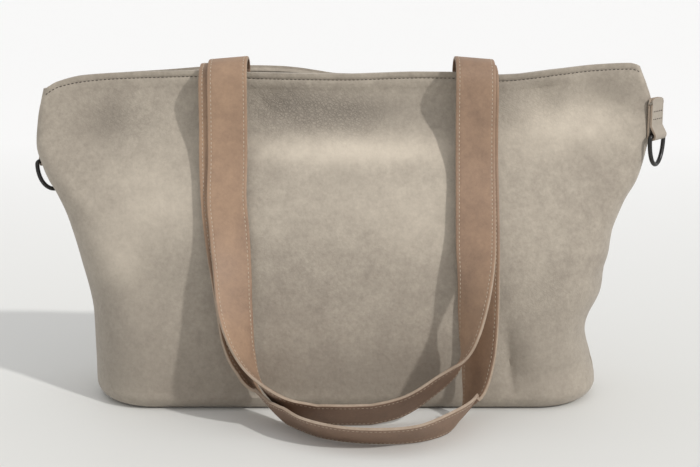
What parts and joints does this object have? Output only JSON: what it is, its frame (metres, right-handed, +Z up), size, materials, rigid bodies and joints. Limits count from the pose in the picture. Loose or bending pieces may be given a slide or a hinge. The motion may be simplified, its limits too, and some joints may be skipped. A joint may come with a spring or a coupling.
{
  "type": "shoulder bag",
  "caption": "Soft leather shoulder bag standing on its base, both long flat handles flopped over the front rim, a folded tab with a hanging D-shaped ring at each end of the mouth.",
  "frame": {"origin": "middle of the base's underside, on the floor", "axes": "+Z up, the front faces -Y, +X along the mouth to the right end as seen from the front"},
  "size_m": [0.4992, 0.2181, 0.2685],
  "materials": {
    "body_leather": "taupe grey nubuck, matt",
    "strap_leather": "brown taupe leather, soft sheen",
    "gunmetal": "dark gunmetal plating"
  },
  "bodies": {
    "bag": {"front_panel": "body_leather", "back_panel": "body_leather", "base_panel": "body_leather", "handle_front": "strap_leather", "handle_back": "strap_leather", "tab_left": "body_leather", "tab_right": "body_leather"},
    "ring_left": {"ring_left": "gunmetal"},
    "ring_right": {"ring_right": "gunmetal"}
  },
  "joints": [
    {"name": "ring_left_swing", "type": "hinge", "parent": "bag", "child": "ring_left", "pos_m": [-0.23275, 0.01456, 0.1847], "axis": [0.8192, 0.5736, 0], "range_deg": [-5, 150]},
    {"name": "ring_right_swing", "type": "hinge", "parent": "bag", "child": "ring_right", "pos_m": [0.24407, -0.00255, 0.2067], "axis": [-0.5736, -0.8192, 0], "range_deg": [-5, 150]}
  ]
}
